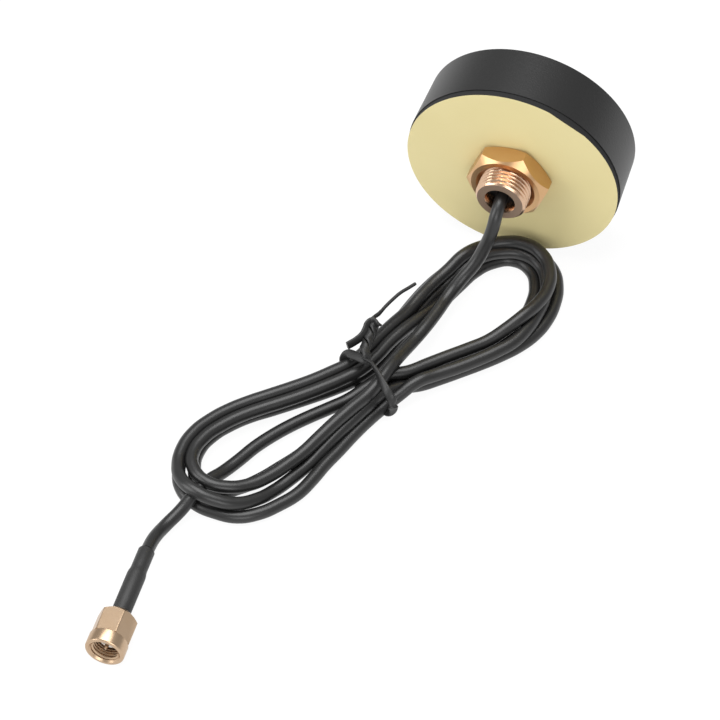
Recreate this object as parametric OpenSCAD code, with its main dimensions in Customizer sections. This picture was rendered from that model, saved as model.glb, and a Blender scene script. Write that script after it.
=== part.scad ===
// Screw-mount GPS antenna: a round puck with a hollow threaded stud, on a one metre coaxial
// lead with a screw-on coaxial plug. The puck stands on its rim and the lead lies before it.

/* [Radome] */
// Outer diameter of the radome at its open rim
radome_d = 50; // [48:0.5:56]
// Distance from the face of the liner to the far edge of the radome
radome_reach = 15.1; // [15.1:0.1:20]
// Height of the slight dome on the far face
crown_h = 0.5; // [0.2:0.1:1.5]
// Draft of the side wall in degrees
side_draft = 2.4; // [1:0.1:4]
// Thickness of the radome's wall
radome_wall = 1.6; // [1.2:0.1:1.8]
// Radius of the far edge
edge_r = 0.4; // [0.3:0.1:1.2]

/* [Mounting face] */
// Thickness of the release liner
liner_t = 0.1; // [0.05:0.05:0.4]
// Thickness of the foam pad
pad_t = 1.4; // [0.8:0.1:2]
// How far the liner stays inside the radome's rim, all round
liner_inset = 0.2; // [0.15:0.05:0.5]
// How far the liner sits below the middle of the puck
liner_drop = 0.1; // [0:0.05:0.15]
// How far the pad stays inside the radome's rim, all round
pad_inset = 0.25; // [0.1:0.05:0.8]
// Depth of the straight cut on the liner's edge
liner_flat = 0.45; // [0.2:0.05:1]
// Angle of the straight cut around the liner
liner_flat_angle = 60; // [0:5:180]

/* [Base] */
// Thickness of the base plate
base_t = 2.5; // [2.3:0.1:3]
// Width of the radome's wall beside the base plate
rebate_wall = 1.8; // [1.5:0.1:2]
// Thickness of the sealing ring's cord
seal_d = 0.9; // [0.7:0.05:1]
// Number of bosses that carry the circuit board
boss_count = 3; // [3:1:4]
// Diameter of a boss
boss_d = 5.2; // [4.4:0.1:5.4]

/* [Stud and nut] */
// Outer diameter of the stud's thread
thread_d = 12; // [11:0.5:13]
// Pitch of the stud's thread
thread_pitch = 1; // [0.75:0.25:1.25]
// Bore of the stud
stud_bore = 7.1; // [6:0.1:7.5]
// How far the stud stands out of the liner's face
stud_reach = 9; // [8:0.5:14]
// Length of the chamfer on the stud's end
stud_chamfer = 0.65; // [0.4:0.05:0.9]
// Diameter of the flange inside the base plate
flange_d = 18; // [16:0.5:20]
// Thickness of that flange
flange_t = 1.2; // [0.8:0.1:1.4]
// Width of the mounting nut across its flats
nut_af = 17; // [16:0.5:19]
// Thickness of the mounting nut
nut_t = 5; // [4:0.5:5.5]
// Turn of the nut's corners about the stud
nut_turn = 9; // [0:1:59]
// Depth of the countersink in the nut
nut_sink = 1.2; // [0.8:0.1:1.4]
// How deep the cable's grommet sits in the stud's mouth
grommet_depth = 3; // [1:0.5:5]

/* [Circuit and patch] */
// Gap between the base plate's edge and the board's edge, all round
board_inset = 3.1; // [2.6:0.1:3.6]
// Thickness of the circuit board
board_t = 0.8; // [0.6:0.1:1]
// Room between the base plate and the circuit board
board_room = 3; // [2.9:0.1:3.1]
// Gap between the ceramic patch and the heads of the screws beside it
patch_gap = 0.3; // [0.2:0.1:1]
// Gap between the ceramic patch and the roof of the radome
roof_gap = 1.5; // [0.6:0.1:2.5]
// Width of the bare ceramic round the silver electrode
electrode_margin = 2; // [1.5:0.1:4]
// Thickness of the tape under the patch
tape_t = 0.2; // [0.1:0.05:0.3]
// Distance of the feed pin from the patch's centre
feed_at = 1.9; // [1.6:0.1:4]
// Diameter of the feed pin
feed_d = 1; // [0.8:0.1:1.2]

/* [Cable] */
// Outer diameter of the cable
cord_d = 3; // [2.6:0.1:3.2]
// Diameter of the cable's braid
braid_d = 2.2; // [2:0.1:2.3]
// Diameter of the cable's inner insulation
dielectric_d = 1.5; // [1.2:0.1:1.7]
// Diameter of the cable's inner wire
core_d = 0.5; // [0.4:0.05:0.6]
// Height of the folded hank above the floor
hank_h = 6; // [5.5:0.1:7]
// Width of the twist tie
tie_w = 2.6; // [2:0.1:4]
// Thickness of the twist tie
tie_t = 0.8; // [0.5:0.1:1]

/* [Plug] */
// Width of the coupling nut across its flats
plug_af = 8; // [7.8:0.1:8.4]
// Diameter of the round collar at the coupling nut's mouth
plug_collar_d = 8.9; // [8.6:0.1:9.2]
// Length of that collar
plug_collar_l = 3.4; // [2.5:0.1:4]
// Length of the coupling nut
plug_nut_l = 11.6; // [11.2:0.1:13]
// Bore of the coupling nut's thread
plug_thread_d = 5.8; // [5.7:0.1:6]
// Length of the coupling nut's thread
plug_thread_l = 5; // [4.6:0.1:5.2]
// Depth of the body's front face in the coupling nut
plug_face_depth = 3; // [2.5:0.1:3.5]
// Diameter of the body's front barrel
plug_barrel_d = 4.6; // [4.4:0.1:4.7]
// Diameter of the body's flange
plug_flange_d = 6.5; // [6.4:0.1:6.7]
// Thickness of the body's flange
plug_flange_t = 1.2; // [1:0.1:1.4]
// Diameter of the body's neck, on which the coupling nut turns
plug_neck_d = 5.4; // [5.2:0.1:5.5]
// Diameter of the centre pin
plug_pin_d = 0.92; // [0.8:0.02:1]
// Diameter of the insulator
plug_insulator_d = 4.1; // [3.8:0.1:4.1]
// Length of the crimp ferrule
ferrule_l = 5.5; // [4.5:0.1:7]
// Wall of the crimp ferrule
ferrule_wall = 0.24; // [0.2:0.02:0.3]
// Length of the wide part of the shrunk sleeve
sleeve_wide_l = 10.2; // [8:0.1:12]
// Length of the narrow part of the shrunk sleeve
sleeve_narrow_l = 6.4; // [5:0.1:8]
// Wall of the shrunk sleeve
sleeve_wall = 0.33; // [0.25:0.01:0.45]

/* [Clearances] */
// Gap between two pieces that are pressed or pushed together
close_gap = 0.03; // [0.01:0.01:0.05]
// Gap at a seat that is put together by hand
seat_gap = 0.1; // [0.05:0.05:0.15]
// Running gap of the coupling nut on its neck
running_gap = 0.05; // [0.03:0.01:0.08]
// Room round the stud in the pad and the liner
stud_room = 0.3; // [0.2:0.1:0.6]

/* [Hidden] */

$fn = 96;
// Overlap that makes a cut run through the face it opens
cut = 0.5;
cos30 = cos(30);

// The stack along the antenna's axis, measured from the liner's face into the puck
face_at = liner_t + pad_t;
base_in = face_at + base_t;
board_at = base_in + board_room;
board_top = board_at + board_t;
patch_at = board_top + tape_t;
patch_top = radome_reach - radome_wall - roof_gap;
radome_depth = radome_reach + crown_h;
rim_r = radome_d / 2;
rebate_r = rim_r - rebate_wall;
base_r = rebate_r - seat_gap;
shoulder_w = 1.2;
// Place of the liner's face, so that the puck and its stud are centred over the origin
face_y = (stud_reach - radome_depth) / 2;

// The seal sits in a groove round the base plate
groove_h = seal_d + 2 * seat_gap;
groove_at = face_at + (base_t - groove_h) / 2;
groove_r = rebate_r - seal_d - 2 * close_gap;

// The stud and its nut: the engaged threads are drawn at their pitch line
stud_r = thread_d / 2;
pitch_r = stud_r - 0.325 * thread_pitch;
nut_bore_r = pitch_r + running_gap;
hole_r = stud_r + stud_room;
grommet_at = grommet_depth - stud_reach;
nut_corner_r = nut_af / 2 / cos30;
nut_face_r = 0.475 * nut_af;

// Screws, and the chips beside the cable
screw_d = 1.9;
screw_head_d = 3.7;
screw_head_h = 1.2;
screw_l = 3;
board_r = base_r - board_inset;
boss_margin = 0.48;
boss_at = board_r - boss_d / 2 - boss_margin;
patch_side = 2 * (boss_at * cos30 - screw_head_d / 2 - patch_gap);
electrode_side = patch_side - 2 * electrode_margin;
can_from = 4;
can_margin = 3;
chip_side = 3;
can_w = board_r - can_from - can_margin;
can_gap = 0.66;
can_d = boss_at - boss_d - 2 * can_gap;
can_h = 1.6;
can_wall = 0.25;
chip_at = can_from + 0.27 * can_w - chip_side / 2;
filter_at = can_from + 0.73 * can_w - chip_side / 2;
chip_h = 0.9;
filter_h = 1.1;
feed_head_d = 2.6;
feed_head_h = 0.25;
electrode_t = 0.05;
jacket_end = 5;
braid_end = 5.8;
dielectric_end = 6.5;

// The plug lies on its collar; its own axis runs from its mouth back to the cable
plug_x = -46.1;
plug_y = -143.2;
plug_z = plug_collar_d / 2;
plug_turn = 1.5;
plug_bore_r = plug_thread_d / 2;
flange_at = plug_thread_l + 1;
relief_r = plug_flange_d / 2 + seat_gap;
neck_r = plug_neck_d / 2;
neck_at = flange_at + plug_flange_t;
ledge_at = neck_at + running_gap;
ring_t = 0.5;
ring_at = ledge_at + 1.4;
ring_in_r = neck_r - 0.25;
ring_out_r = neck_r + running_gap + 0.55;
stem_r = cord_d / 2;
ferrule_in_r = stem_r + close_gap;
ferrule_out_r = ferrule_in_r + ferrule_wall;
ferrule_at = plug_nut_l + 0.3;
stem_l = 3;
sleeve_at = plug_nut_l + seat_gap;
sleeve_step = sleeve_at + sleeve_wide_l;
sleeve_end = sleeve_step + sleeve_narrow_l;
sleeve_in_r = ferrule_out_r + close_gap;
pin_front = 1;
pin_back = flange_at + 2.5;
insulator_back = flange_at + 2;

// Midline and half width of the folded hank, as [x, y, half width], lobe by lobe
right_lobe = [[-20.5, -51, 4], [-18, -46, 4.3], [-15, -41, 4.5], [-12.5, -34.5, 4.5],
    [-10, -27.5, 4.5], [-7.5, -20.5, 4.3], [-5.5, -14.5, 4], [-3, -10.5, 3.7],
    [-0.5, -8.3, 3.5], [2.5, -7.2, 3.2], [6.5, -7.4, 3.2], [9.5, -9.5, 3.3],
    [12, -12.5, 3.4], [13.3, -16.5, 3.5], [13.5, -20.5, 3.6], [12.7, -25, 3.5],
    [10.7, -29.3, 3.3], [8, -33, 3.2], [4.5, -36.5, 3.1], [1, -40, 3.1],
    [-2.5, -43.5, 3.1], [-6, -47, 3.2], [-9.5, -50.5, 3.4], [-12.5, -54.5, 3.8]];
left_lobe = [[-12.5, -54.5, 3.8], [-14.2, -59, 3.8], [-16.2, -64.3, 4], [-18.4, -70.5, 4.2],
    [-20.8, -77.2, 4.4], [-23.2, -83, 4.5], [-26, -87.7, 4.5], [-29.2, -91.7, 4.5],
    [-32.8, -95, 4.4], [-37.3, -96.5, 4], [-42, -95.7, 3.5], [-45.8, -92.5, 3.2],
    [-47.5, -88.5, 3.1], [-47.8, -84, 3.1], [-46.6, -79.5, 3.1], [-44.2, -75.3, 3.1],
    [-41, -71.5, 3.1], [-37.5, -68, 3.1], [-34, -65, 3.1], [-30.5, -61.5, 3.1],
    [-27, -58, 3.2], [-23.5, -54.5, 3.3], [-20.5, -51, 4]];
// Route of the lead from the grommet down to the hank, and from the hank to the plug
lead_in = [[0, face_y + grommet_at, rim_r], [0, face_y + grommet_at - 1.4, rim_r], [0, -12.2, 24.6],
    [0, -13.7, 23.7], [0, -14.9, 22.3],
    [-0.2, -16, 20], [-0.8, -16.8, 17.3], [-1.6, -17.6, 14.5], [-2.6, -18.9, 11.5],
    [-3.8, -20.5, 8.6], [-5.1, -22.7, 6.4], [-6.4, -25.6, 5], [-7.5, -28.8, 4.5]];
lead_out = [[-20.5, -59.5, 1.5], [-24.5, -64.4, 1.5], [-28, -68.2, 1.5], [-31.2, -72.4, 1.5],
    [-34.3, -76.9, 1.5], [-37.2, -82, 1.5], [-40, -87.3, 1.5], [-42, -92.6, 1.5],
    [-43.9, -97.8, 1.5], [-45.5, -102, 1.5], [-46.6, -106, 2], [-46.85, -109.8, 3.4]];
// Tunnel under the hank's left end, through which the lead goes on to the plug
tunnel_turn = -20.5;
tunnel_ahead = 16;
tunnel_behind = 5;
tie_x = -14.7;
tie_y = -53.2;
tie_turn = -50;
tie_half = 9.2;
tie_h = hank_h + 2 * tie_t + 2 * seat_gap;
tie_long_tail = [[-19, -48.1, 7.4], [-20, -46, 8], [-18.9, -44.2, 8.4], [-18.6, -42.2, 8.6],
    [-19.4, -40.4, 8.8], [-18.6, -37.6, 9], [-17.2, -34.3, 9], [-14.5, -29, 9]];
tie_short_tail = [[-19, -48.1, 7.4], [-21.3, -48.7, 7.4], [-23.4, -48.9, 6.6], [-24.9, -49.6, 5.2]];

// Frames of the two axes

module on_antenna_axis() {
    translate([0, face_y, rim_r]) rotate([-90, 0, 0]) children();
}

module on_plug_axis() {
    translate([plug_x, plug_y, plug_z]) rotate([0, 0, plug_turn]) rotate([-90, 0, 0]) children();
}

module ring(r_out, r_in, from, to) {
    translate([0, 0, from]) difference() {
        cylinder(r = r_out, h = to - from);
        translate([0, 0, -cut]) cylinder(r = r_in, h = to - from + 2 * cut);
    }
}

// A turned hexagon whose corners are cut by a cone at each end
module chamfered_hex(af, length, front_r, front_slope, back_r, back_slope) {
    corner = af / 2 / cos30;
    intersection() {
        cylinder(r = corner, h = length, $fn = 6);
        rotate_extrude() polygon([[0, 0], [front_r, 0],
            [corner + cut, (corner + cut - front_r) * front_slope],
            [corner + cut, length - (corner + cut - back_r) * back_slope],
            [back_r, length], [0, length]]);
    }
}

// A round tube swept along a list of points, with its rings square to the route
function unit(v) = v / norm(v);
function heading(path, i) = unit(path[min(i + 1, len(path) - 1)] - path[max(i - 1, 0)]);
function across(t, side) = unit(cross(t, side));
function tube_ring(path, i, r, side, sides) =
    let (t = heading(path, i), u = across(t, side), v = cross(t, u))
    [for (k = [0:sides - 1]) path[i] + r * (cos(360 * k / sides) * u + sin(360 * k / sides) * v)];

module tube(path, d, side, sides = 8) {
    last = len(path) - 1;
    points = [for (i = [0:last]) each tube_ring(path, i, d / 2, side, sides)];
    walls = [for (i = [0:last - 1], k = [0:sides - 1])
        [i * sides + k, (i + 1) * sides + k,
            (i + 1) * sides + (k + 1) % sides, i * sides + (k + 1) % sides]];
    near_end = [for (k = [0:sides - 1]) k];
    far_end = [for (k = [sides - 1:-1:0]) last * sides + k];
    polyhedron(points, concat(walls, [near_end, far_end]));
}

// Puck

module radome() {
    far_r = rim_r - (radome_reach - face_at) * tan(side_draft);
    shoulder_r = rebate_r - shoulder_w;
    roof = radome_reach - radome_wall;
    roof_r = shoulder_r - (roof - base_in) * tan(side_draft);
    edge = [for (a = [0:15:90]) [far_r - edge_r + edge_r * cos(a), radome_reach - edge_r + edge_r * sin(a)]];
    crown = [for (i = [1:4]) [(far_r - edge_r) * cos(22.5 * i), radome_reach + crown_h * sin(22.5 * i)]];
    color("#3b3c3e") on_antenna_axis() rotate_extrude() polygon(concat(
        [[rebate_r, face_at], [rim_r, face_at]], edge, crown,
        [[0, roof], [roof_r, roof], [shoulder_r, base_in], [rebate_r, base_in]]));
}

module boss_places() {
    for (i = [0:boss_count - 1]) rotate([0, 0, 360 * i / boss_count - 90])
        translate([boss_at, 0, 0]) children();
}

module base_plate() {
    color("#8d9094") on_antenna_axis() difference() {
        union() {
            ring(base_r, stud_r + seat_gap, face_at, base_in);
            boss_places() translate([0, 0, base_in - cut]) cylinder(d = boss_d, h = board_room + cut);
        }
        ring(base_r + cut, groove_r, groove_at, groove_at + groove_h);
        boss_places() translate([0, 0, board_top - screw_l - cut])
            cylinder(d = screw_d + 2 * close_gap, h = screw_l + 2 * cut);
    }
}

module base_seal_ring() {
    color("#1c1c1e") on_antenna_axis() rotate_extrude()
        translate([(groove_r + rebate_r) / 2, groove_at + groove_h / 2]) circle(d = seal_d, $fn = 24);
}

module foam_pad() {
    color("#1f1f21") on_antenna_axis() ring(rim_r - pad_inset, hole_r, liner_t, face_at);
}

module release_liner() {
    liner_r = rim_r - liner_inset;
    color("#dccf9d") on_antenna_axis() translate([0, liner_drop, 0]) difference() {
        ring(liner_r, hole_r, 0, liner_t);
        rotate([0, 0, -liner_flat_angle]) translate([liner_r - liner_flat, -liner_r, -cut])
            cube([2 * liner_flat, 2 * liner_r, liner_t + 2 * cut]);
    }
}

module threaded_stud() {
    chamfer_r = stud_r - stud_chamfer;
    bore_r = stud_bore / 2;
    color("#d9a878") on_antenna_axis() rotate_extrude() polygon([
        [bore_r, -stud_reach], [chamfer_r, -stud_reach], [stud_r, stud_chamfer - stud_reach],
        [stud_r, -nut_t - seat_gap], [pitch_r, -nut_t - seat_gap], [pitch_r, -nut_sink / 3],
        [stud_r, -nut_sink / 3], [stud_r, base_in], [flange_d / 2, base_in],
        [flange_d / 2, base_in + flange_t], [bore_r, base_in + flange_t]]);
}

module mounting_nut() {
    sink_r = nut_bore_r + nut_sink;
    color("#e0a85c") on_antenna_axis() rotate([0, 0, -nut_turn]) translate([0, 0, -nut_t])
        difference() {
            chamfered_hex(nut_af, nut_t, nut_face_r, 1, nut_face_r, 0.6);
            rotate_extrude() polygon([[0, -cut], [sink_r + cut, -cut], [nut_bore_r, nut_sink],
                [nut_bore_r, nut_t - nut_sink], [sink_r + cut, nut_t + cut], [0, nut_t + cut]]);
        }
}

module cable_grommet() {
    color("#18181a") on_antenna_axis()
        ring(stud_bore / 2 - close_gap, cord_d / 2 + close_gap, grommet_at, base_in + flange_t);
}

// Circuit and patch

module circuit_board() {
    color("#2f6b46") on_antenna_axis() difference() {
        ring(board_r, core_d / 2 + close_gap, board_at, board_top);
        translate([0, feed_at, board_at - cut]) cylinder(d = feed_d + 2 * close_gap, h = board_t + 2 * cut);
        boss_places() translate([0, 0, board_at - cut])
            cylinder(d = screw_d + 2 * seat_gap, h = board_t + 2 * cut);
    }
}

module board_screws() {
    color("#b9bcc0") on_antenna_axis() boss_places() {
        difference() {
            translate([0, 0, board_top]) cylinder(d = screw_head_d, h = screw_head_h);
            translate([0, 0, board_top + screw_head_h - 0.6]) cylinder(d = 1.5, h = 1, $fn = 6);
        }
        translate([0, 0, board_top - screw_l]) cylinder(d = screw_d, h = screw_l);
    }
}

module patch_plate(side, from, to) {
    translate([0, 0, from]) difference() {
        translate([-side / 2, -side / 2, 0]) cube([side, side, to - from]);
        translate([0, feed_at, -cut]) cylinder(d = feed_d + 2 * close_gap, h = to - from + 2 * cut);
    }
}

module ceramic_patch() {
    color("#c9b79b") on_antenna_axis() patch_plate(patch_side, patch_at, patch_top);
}

module patch_electrode() {
    color("#d4d6d8") on_antenna_axis()
        patch_plate(electrode_side, patch_top, patch_top + electrode_t);
}

module patch_tape() {
    color("#e8e4d6") on_antenna_axis() patch_plate(patch_side - 1, board_top, patch_at);
}

module feed_pin() {
    head_at = patch_top + electrode_t;
    color("#e6c46a") on_antenna_axis() translate([0, feed_at, 0]) {
        translate([0, 0, board_at - 0.6]) cylinder(d = feed_d, h = head_at + feed_head_h - board_at + 0.6);
        translate([0, 0, head_at]) cylinder(d = feed_head_d, h = feed_head_h);
    }
}

module under_board(x, y, w, d, h) {
    translate([x, y - d / 2, board_at - h]) cube([w, d, h]);
}

module shield_can() {
    color("#c3c6c9") on_antenna_axis() difference() {
        under_board(can_from, 0, can_w, can_d, can_h);
        translate([can_from + can_wall, can_wall - can_d / 2, board_at - can_h + can_wall])
            cube([can_w - 2 * can_wall, can_d - 2 * can_wall, can_h]);
    }
}

module lna_chip() {
    color("#1b1b1d") on_antenna_axis() under_board(chip_at, 0, chip_side, chip_side, chip_h);
}

module band_filter() {
    color("#b79a55") on_antenna_axis() under_board(filter_at, 0, chip_side, chip_side, filter_h);
}

// Cable's stripped end, in the grommet and on the board

module cable_jacket_end() {
    color("#202124") on_antenna_axis() ring(cord_d / 2, braid_d / 2 + close_gap, grommet_at, jacket_end);
}

module cable_braid_end() {
    color("#b8bbbe") on_antenna_axis()
        ring(braid_d / 2, dielectric_d / 2 + close_gap, grommet_at, braid_end);
}

module cable_dielectric_end() {
    color("#f0efe9") on_antenna_axis()
        ring(dielectric_d / 2, core_d / 2 + close_gap, grommet_at, dielectric_end);
}

module cable_core_end() {
    color("#c87f4a") on_antenna_axis() translate([0, 0, grommet_at])
        cylinder(d = core_d, h = board_top - grommet_at);
}

// Free cable

module cord_lead_in() {
    color("#2a2b2e") tube(lead_in, cord_d, [1, 0, 0]);
}

module cord_lead_out() {
    color("#2a2b2e") tube(concat(lead_out, [plug_point(sleeve_end + 1.5), plug_point(sleeve_end)]), cord_d, [0, 0, 1]);
}

function plug_point(s) = [plug_x - s * sin(plug_turn), plug_y + s * cos(plug_turn), plug_z];

// The outline of one lobe is its midline moved out, or in, by the half width
function lobe_side(lobe, out) = [for (i = [0:len(lobe) - 1])
    let (n = len(lobe), p = lobe[i], t = unit(flat(lobe[(i + 1) % n]) - flat(lobe[(i + n - 1) % n])))
    flat(p) + out * p[2] * [-t[1], t[0]]];
function flat(p) = [p[0], p[1]];

module lobe(points) {
    difference() {
        polygon(lobe_side(points, 1));
        polygon(lobe_side(points, -1));
    }
}

module at_tie() {
    translate([tie_x, tie_y, 0]) rotate([0, 0, tie_turn]) children();
}

module cord_hank() {
    under = cord_d + 2 * seat_gap;
    color("#26272a") difference() {
        union() {
            linear_extrude(hank_h) lobe(right_lobe);
            linear_extrude(hank_h) lobe(left_lobe);
        }
        at_tie() translate([-tie_half - cut, -tie_w / 2 - seat_gap, -cut])
            cube([2 * (tie_half + cut), tie_w + 2 * seat_gap, tie_t + seat_gap + cut]);
        translate([lead_out[6][0], lead_out[6][1], -cut]) rotate([0, 0, tunnel_turn])
            translate([-under / 2, -tunnel_ahead, 0]) cube([under, tunnel_ahead + tunnel_behind, under + cut]);
    }
}

module rounded_bar(half_w, h, r) {
    hull() for (x = [r - half_w, half_w - r], y = [r, h - r]) translate([x, y]) circle(r, $fn = 20);
}

module twist_tie() {
    color("#1d1d1f") {
        at_tie() rotate([90, 0, 0]) translate([0, 0, -tie_w / 2]) linear_extrude(tie_w) difference() {
            rounded_bar(tie_half, tie_h, 2.6);
            translate([0, tie_t]) rounded_bar(tie_half - tie_t, tie_h - 2 * tie_t, 1.8);
        }
        tube(tie_long_tail, tie_t + 0.3, [0, 0, 1], 6);
        tube(tie_short_tail, tie_t + 0.3, [0, 0, 1], 6);
    }
}

// Plug

module heat_shrink_sleeve() {
    wide_r = sleeve_in_r + sleeve_wall;
    narrow_in_r = cord_d / 2 + close_gap;
    narrow_r = narrow_in_r + sleeve_wall;
    slope = wide_r - narrow_r + 0.3;
    color("#2b2c2e") on_plug_axis() rotate_extrude() polygon([
        [sleeve_in_r, sleeve_at], [wide_r, sleeve_at], [wide_r, sleeve_step],
        [narrow_r, sleeve_step + slope], [narrow_r, sleeve_end], [narrow_in_r, sleeve_end],
        [narrow_in_r, sleeve_step + slope], [sleeve_in_r, sleeve_step]]);
}

module crimp_ferrule() {
    color("#d8b37e") on_plug_axis() ring(ferrule_out_r, ferrule_in_r, ferrule_at, ferrule_at + ferrule_l);
}

module plug_cable_end() {
    color("#202124") on_plug_axis() translate([0, 0, ferrule_at + stem_l])
        cylinder(d = cord_d, h = sleeve_end - ferrule_at - stem_l);
}

module plug_body() {
    barrel_r = plug_barrel_d / 2;
    bore_r = plug_insulator_d / 2 + close_gap;
    flange_r = plug_flange_d / 2;
    color("#e2c48d") on_plug_axis() rotate_extrude() polygon([
        [bore_r, plug_face_depth], [barrel_r, plug_face_depth], [barrel_r, flange_at],
        [flange_r, flange_at], [flange_r, neck_at], [neck_r, neck_at],
        [neck_r, ring_at - running_gap], [ring_in_r, ring_at - running_gap],
        [ring_in_r, ring_at + ring_t + running_gap], [neck_r, ring_at + ring_t + running_gap],
        [neck_r, plug_nut_l], [stem_r, plug_nut_l], [stem_r, ferrule_at + stem_l],
        [0, ferrule_at + stem_l], [0, insulator_back + 1], [bore_r, insulator_back + 1]]);
}

module plug_insulator() {
    color("#f2f0ea") on_plug_axis()
        ring(plug_insulator_d / 2, plug_pin_d / 2 + close_gap, plug_face_depth, insulator_back);
}

module plug_center_pin() {
    pin_r = plug_pin_d / 2;
    color("#e9c878") on_plug_axis() rotate_extrude() polygon([
        [0, pin_front], [pin_r / 2, pin_front], [pin_r, pin_front + pin_r], [pin_r, pin_back], [0, pin_back]]);
}

module plug_gasket() {
    color("#b5533f") on_plug_axis()
        ring(plug_flange_d / 2 - seat_gap, plug_barrel_d / 2 + close_gap, flange_at - 0.7, flange_at);
}

module plug_snap_ring() {
    color("#b08d57") on_plug_axis() difference() {
        ring(ring_out_r - running_gap, ring_in_r + close_gap, ring_at, ring_at + ring_t);
        translate([0, -0.4, ring_at - cut]) cube([ring_out_r + cut, 0.8, ring_t + 2 * cut]);
    }
}

module coupling_nut() {
    collar_r = plug_collar_d / 2;
    mouth_r = collar_r - 1;
    back_r = neck_r + running_gap;
    color("#e6cfa0") on_plug_axis() difference() {
        union() {
            translate([0, 0, plug_collar_l - cut])
                chamfered_hex(plug_af, plug_nut_l - plug_collar_l + cut, collar_r + 1, 0, 0.475 * plug_af, 0.6);
            rotate_extrude() polygon([[0, 0], [collar_r - 0.35, 0], [collar_r, 0.35],
                [collar_r, plug_collar_l - 0.3], [collar_r - 0.3, plug_collar_l], [0, plug_collar_l]]);
        }
        rotate_extrude() polygon([[0, -cut], [mouth_r + cut, -cut], [plug_bore_r, mouth_r - plug_bore_r],
            [plug_bore_r, plug_thread_l], [relief_r, plug_thread_l], [relief_r, ledge_at],
            [back_r, ledge_at], [back_r, ring_at - running_gap], [ring_out_r, ring_at - running_gap],
            [ring_out_r, ring_at + ring_t + running_gap], [back_r, ring_at + ring_t + running_gap],
            [back_r, plug_nut_l + cut], [0, plug_nut_l + cut]]);
    }
}

radome();
base_plate();
base_seal_ring();
foam_pad();
release_liner();
threaded_stud();
mounting_nut();
cable_grommet();
circuit_board();
board_screws();
ceramic_patch();
patch_electrode();
patch_tape();
feed_pin();
shield_can();
lna_chip();
band_filter();
cable_jacket_end();
cable_braid_end();
cable_dielectric_end();
cable_core_end();
cord_lead_in();
cord_hank();
cord_lead_out();
twist_tie();
heat_shrink_sleeve();
crimp_ferrule();
plug_cable_end();
plug_body();
plug_insulator();
plug_center_pin();
plug_gasket();
plug_snap_ring();
coupling_nut();
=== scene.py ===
"""A screw-mount GPS antenna on its rim, with its folded coaxial lead and plug before it."""

import math

import bpy
from mathutils import Matrix, Vector


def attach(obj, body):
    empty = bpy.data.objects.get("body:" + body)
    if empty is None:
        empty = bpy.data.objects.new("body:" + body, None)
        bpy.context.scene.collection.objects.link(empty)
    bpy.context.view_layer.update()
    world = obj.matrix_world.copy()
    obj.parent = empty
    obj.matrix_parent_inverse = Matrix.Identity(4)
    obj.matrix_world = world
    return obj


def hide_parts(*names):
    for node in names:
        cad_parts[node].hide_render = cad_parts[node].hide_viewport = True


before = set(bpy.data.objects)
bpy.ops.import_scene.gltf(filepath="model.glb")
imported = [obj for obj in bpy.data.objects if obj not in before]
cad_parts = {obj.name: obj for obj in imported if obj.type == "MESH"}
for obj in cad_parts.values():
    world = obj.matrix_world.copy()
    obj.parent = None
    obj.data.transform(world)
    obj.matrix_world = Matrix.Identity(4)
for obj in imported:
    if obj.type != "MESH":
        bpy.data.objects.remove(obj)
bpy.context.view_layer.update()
MM = 0.001

# Camera
# A long lens, a little to the right of the antenna's axis and well above it, as for a
# catalogue picture: the liner face, the stud and the whole lead are in view.
camera_data = bpy.data.cameras.new("catalogue_camera")
camera_data.lens = 266.94
camera_data.sensor_width = 36
camera_data.clip_start = 0.05
camera_data.clip_end = 20
camera = bpy.data.objects.new("catalogue_camera", camera_data)
camera.location = (0.220294, -0.750954, 0.939013)
camera.rotation_euler = (math.radians(38.42), 0, math.radians(18.93))
bpy.context.scene.collection.objects.link(camera)
bpy.context.scene.camera = camera

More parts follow.
